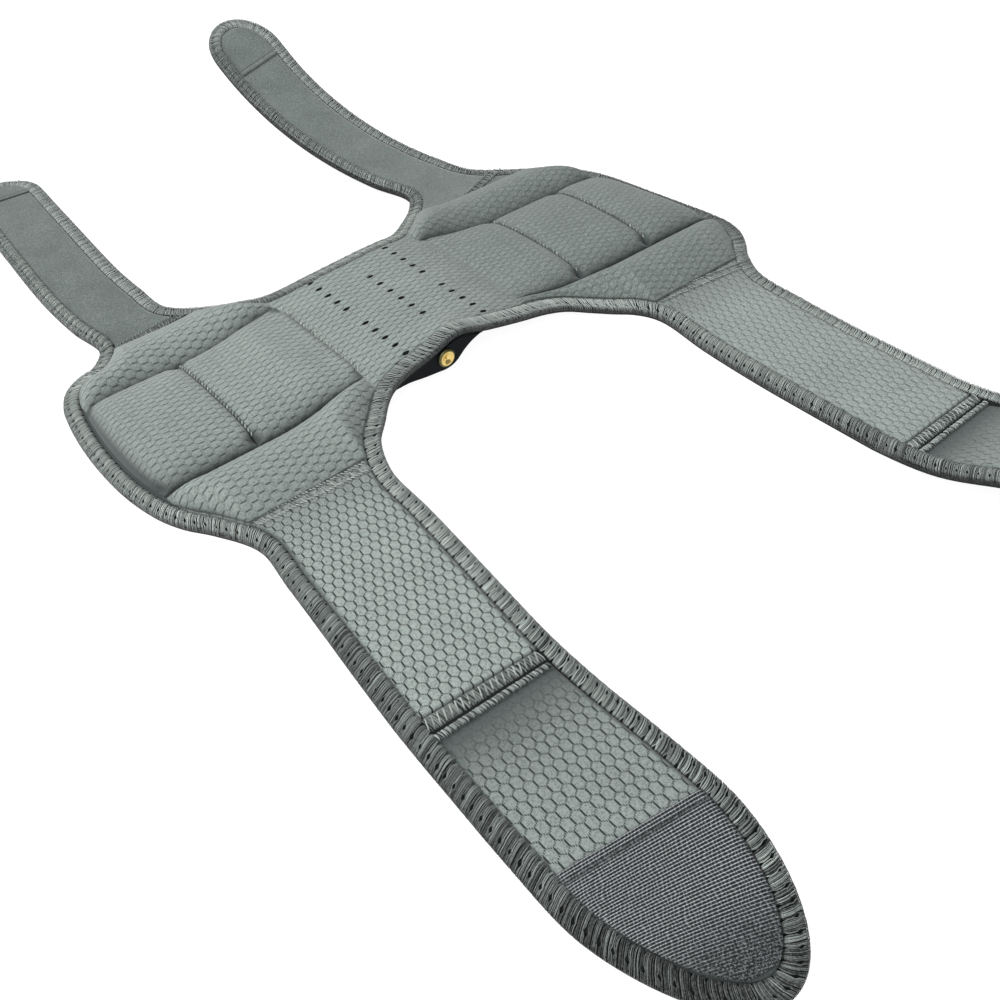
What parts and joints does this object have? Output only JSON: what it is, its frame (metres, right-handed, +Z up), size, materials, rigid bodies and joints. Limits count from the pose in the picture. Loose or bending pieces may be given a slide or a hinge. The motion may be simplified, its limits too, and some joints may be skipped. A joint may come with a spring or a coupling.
{
  "type": "knee brace",
  "caption": "Wrap-around knee brace lying open: padded calf and thigh cuffs, narrow slit waist over riveted spring plates, wide hook straps, narrow loop straps and an overlocked edge band.",
  "frame": {"origin": "middle of the spread-out brace, on the surface it lies on", "axes": "+X along the leg from the calf cuff to the thigh cuff, +Y across the leg towards the narrow loop straps, +Z up through the padded side"},
  "size_m": [0.2998, 0.5564, 0.0506],
  "materials": {
    "honeycomb_cloth": "honeycomb knit over foam, matte",
    "binding_thread": "dense overlock threads, light and dark grey",
    "loop_plush": "short plush, matte",
    "hook_tape": "fine ribs of nylon hooks",
    "spring_black": "satin black",
    "rivet_brass": "polished eyelet"
  },
  "bodies": {
    "root": {"body_panel": "honeycomb_cloth", "calf_pad_outer": "honeycomb_cloth", "calf_pad_inner": "honeycomb_cloth", "thigh_pad_waist": "honeycomb_cloth", "thigh_pad_middle": "honeycomb_cloth", "thigh_pad_outer": "honeycomb_cloth", "calf_bolster_near": "honeycomb_cloth", "calf_bolster_far": "honeycomb_cloth", "thigh_bolster_near": "honeycomb_cloth", "thigh_bolster_far": "honeycomb_cloth", "calf_strap_inner": "honeycomb_cloth", "calf_strap_roll": "binding_thread", "calf_strap_outer": "honeycomb_cloth", "calf_strap_hook_patch": "hook_tape", "thigh_strap_inner": "honeycomb_cloth", "thigh_strap_roll": "binding_thread", "thigh_strap_outer": "honeycomb_cloth", "thigh_strap_hook_patch": "hook_tape", "calf_loop": "loop_plush", "calf_loop_tab": "loop_plush", "thigh_loop": "loop_plush", "thigh_loop_tab": "loop_plush", "edge_binding": "binding_thread", "spring_plate_near": "spring_black", "hinge_rivet_near": "rivet_brass", "spring_plate_far": "spring_black", "hinge_rivet_far": "rivet_brass"}
  },
  "joints": []
}
